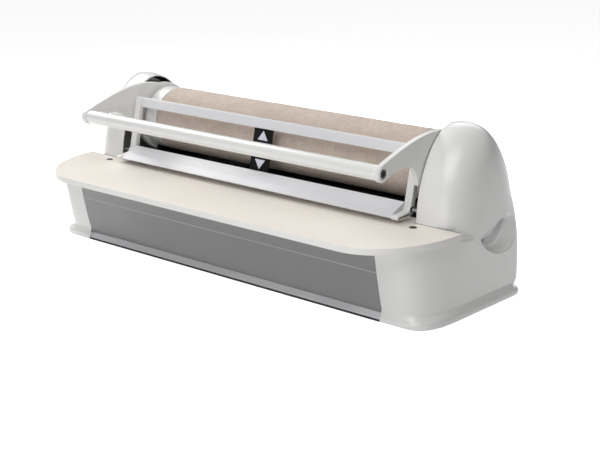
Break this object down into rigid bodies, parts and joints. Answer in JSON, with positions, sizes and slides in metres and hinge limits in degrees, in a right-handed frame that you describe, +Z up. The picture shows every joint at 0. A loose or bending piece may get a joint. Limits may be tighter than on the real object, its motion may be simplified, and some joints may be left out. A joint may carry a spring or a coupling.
{
  "type": "flatwork ironer",
  "caption": "Table-top flatwork ironer: a padded roller turns over a heated trough between moulded end casings, with a feed board, finger guard and lever bar.",
  "frame": {"origin": "on the floor under the middle of the machine, at the centre of its length and depth", "axes": "+X along the roller to the operator's right, +Y from the operator to the back, +Z up"},
  "size_m": [1.2652, 0.5326, 0.4253],
  "materials": {
    "moulded_shell": "glossy white moulded shell",
    "white_casting": "cast or extruded, white powder coat",
    "white_enamel": "smooth white enamel",
    "grey_panel": "satin grey sheet",
    "rail_metal": "drawn section, satin",
    "laminate": "cream laminate on a board, cream edge",
    "linen_cover": "plain-woven beige linen over padding",
    "zinc_steel": "zinc plated sheet",
    "bright_steel": "turned and ground",
    "black_metal": "satin black",
    "dark_shoe": "dark non-stick coat",
    "machine_grey": "grey machine paint",
    "grey_plastic": "moulded, matt",
    "black_plastic": "moulded, fine grain",
    "foot_rubber": "soft black rubber"
  },
  "bodies": {
    "base": {"right_casing": "moulded_shell", "left_casing": "moulded_shell", "base_tray": "zinc_steel", "front_left_foot": "foot_rubber", "back_left_foot": "foot_rubber", "front_right_foot": "foot_rubber", "back_right_foot": "foot_rubber", "right_side_plate": "zinc_steel", "left_side_plate": "zinc_steel", "front_beam": "zinc_steel", "rear_beam": "zinc_steel", "infeed_guide": "black_metal", "rear_cover": "white_enamel", "front_panel": "grey_panel", "front_rail": "rail_metal", "feed_table": "laminate", "left_table_screw": "black_metal", "right_table_screw": "black_metal", "right_bearing": "machine_grey", "left_bearing": "machine_grey", "right_lever_hub": "bright_steel", "left_lever_hub": "bright_steel", "gearbox": "machine_grey", "motor": "machine_grey", "drive_chain": "bright_steel", "thermostat": "grey_plastic", "switch_housing": "black_plastic", "cable_gland": "black_plastic", "control_box": "grey_plastic"},
    "roller": {"roller_tube": "zinc_steel", "roller_padding": "linen_cover", "right_roller_cap": "moulded_shell", "left_roller_cap": "moulded_shell", "roller_shaft": "bright_steel", "roller_sprocket": "bright_steel"},
    "drive": {"motor_shaft": "bright_steel", "motor_sprocket": "bright_steel"},
    "lever": {"right_lever_arm": "white_casting", "left_lever_arm": "white_casting", "grip_tube": "white_enamel", "right_grip_screw": "black_metal", "left_grip_screw": "black_metal"},
    "trough": {"trough_shoe_1": "dark_shoe", "trough_shoe_2": "dark_shoe", "trough_shoe_3": "dark_shoe", "trough_shoe_4": "dark_shoe", "trough_shoe_5": "dark_shoe", "heating_element": "zinc_steel", "trough_cover": "zinc_steel", "right_trough_plate": "dark_shoe", "left_trough_plate": "dark_shoe", "right_cam_pin": "bright_steel", "left_cam_pin": "bright_steel"},
    "guard": {"right_guard_bracket": "white_casting", "left_guard_bracket": "white_casting", "guard_top_bar": "white_casting", "guard_plate": "white_enamel", "arrow_plate": "black_metal"},
    "knob": {"thermostat_knob": "black_plastic"},
    "rocker": {"rocker": "black_plastic"}
  },
  "joints": [
    {"name": "roller_spin", "type": "hinge", "parent": "base", "child": "roller", "pos_m": [0, 0.133, 0.305], "axis": [1, 0, 0], "continuous": true},
    {"name": "motor_spin", "type": "hinge", "parent": "base", "child": "drive", "pos_m": [0, 0.065, 0.095], "axis": [1, 0, 0], "continuous": true},
    {"name": "lever_press", "type": "hinge", "parent": "base", "child": "lever", "pos_m": [0, 0.133, 0.305], "axis": [-1, 0, 0], "range_deg": [-20, 25]},
    {"name": "trough_lift", "type": "hinge", "parent": "base", "child": "trough", "pos_m": [0, 0.229, 0.262], "axis": [1, 0, 0], "range_deg": [-4, 5]},
    {"name": "guard_trip", "type": "hinge", "parent": "base", "child": "guard", "pos_m": [0, -0.005, 0.231], "axis": [-1, 0, 0], "range_deg": [0, 3], "stiffness_Nm_per_rad": 10, "springref_deg": -5.73},
    {"name": "knob_turn", "type": "hinge", "parent": "base", "child": "knob", "pos_m": [-0.6223, 0.06, 0.1], "axis": [-1, 0, 0], "range_deg": [0, 270]},
    {"name": "rocker_tilt", "type": "hinge", "parent": "base", "child": "rocker", "pos_m": [-0.6203, 0.13, 0.1], "axis": [0, 0, -1], "range_deg": [0, 16]}
  ],
  "couplings": [
    {"joint": "motor_spin", "follows": "roller_spin", "ratio": 2.5},
    {"joint": "trough_lift", "follows": "lever_press", "ratio": 0.2}
  ]
}
